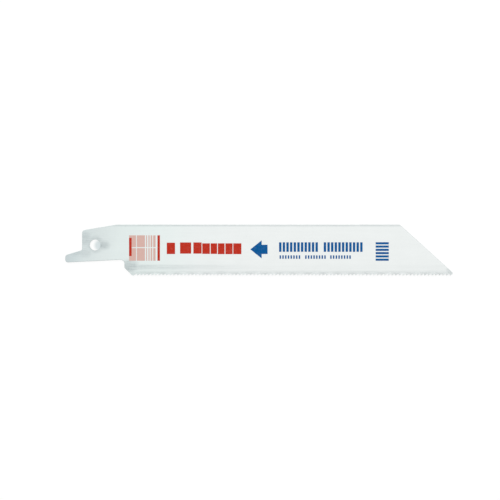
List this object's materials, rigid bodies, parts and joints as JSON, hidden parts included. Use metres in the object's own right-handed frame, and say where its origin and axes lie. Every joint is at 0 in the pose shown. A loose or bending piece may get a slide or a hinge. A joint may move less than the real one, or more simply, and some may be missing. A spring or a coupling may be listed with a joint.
{
  "type": "reciprocating saw blade",
  "caption": "Flat steel blade for a reciprocating saw, painted white, with a holed tang, a fine wavy-set tooth edge and a sloping nose.",
  "frame": {"origin": "centre of the tang's locking hole, on the mid-plane of the strip", "axes": "+X from the tang to the nose, +Y from the teeth to the back edge, +Z out of the printed side, which faces up as the blade lies"},
  "size_m": [0.15, 0.0197, 0.0014],
  "materials": {
    "white_enamel_on_steel": "satin white enamel on strip steel, thinner and greyer on the tang, the edges and the teeth",
    "red_ink": "red screen-printing ink on the enamel",
    "pale_red_ink": "red screen-printing ink let down with white, on the enamel",
    "blue_ink": "blue screen-printing ink on the enamel"
  },
  "bodies": {
    "root": {"blade": "white_enamel_on_steel"}
  },
  "joints": []
}
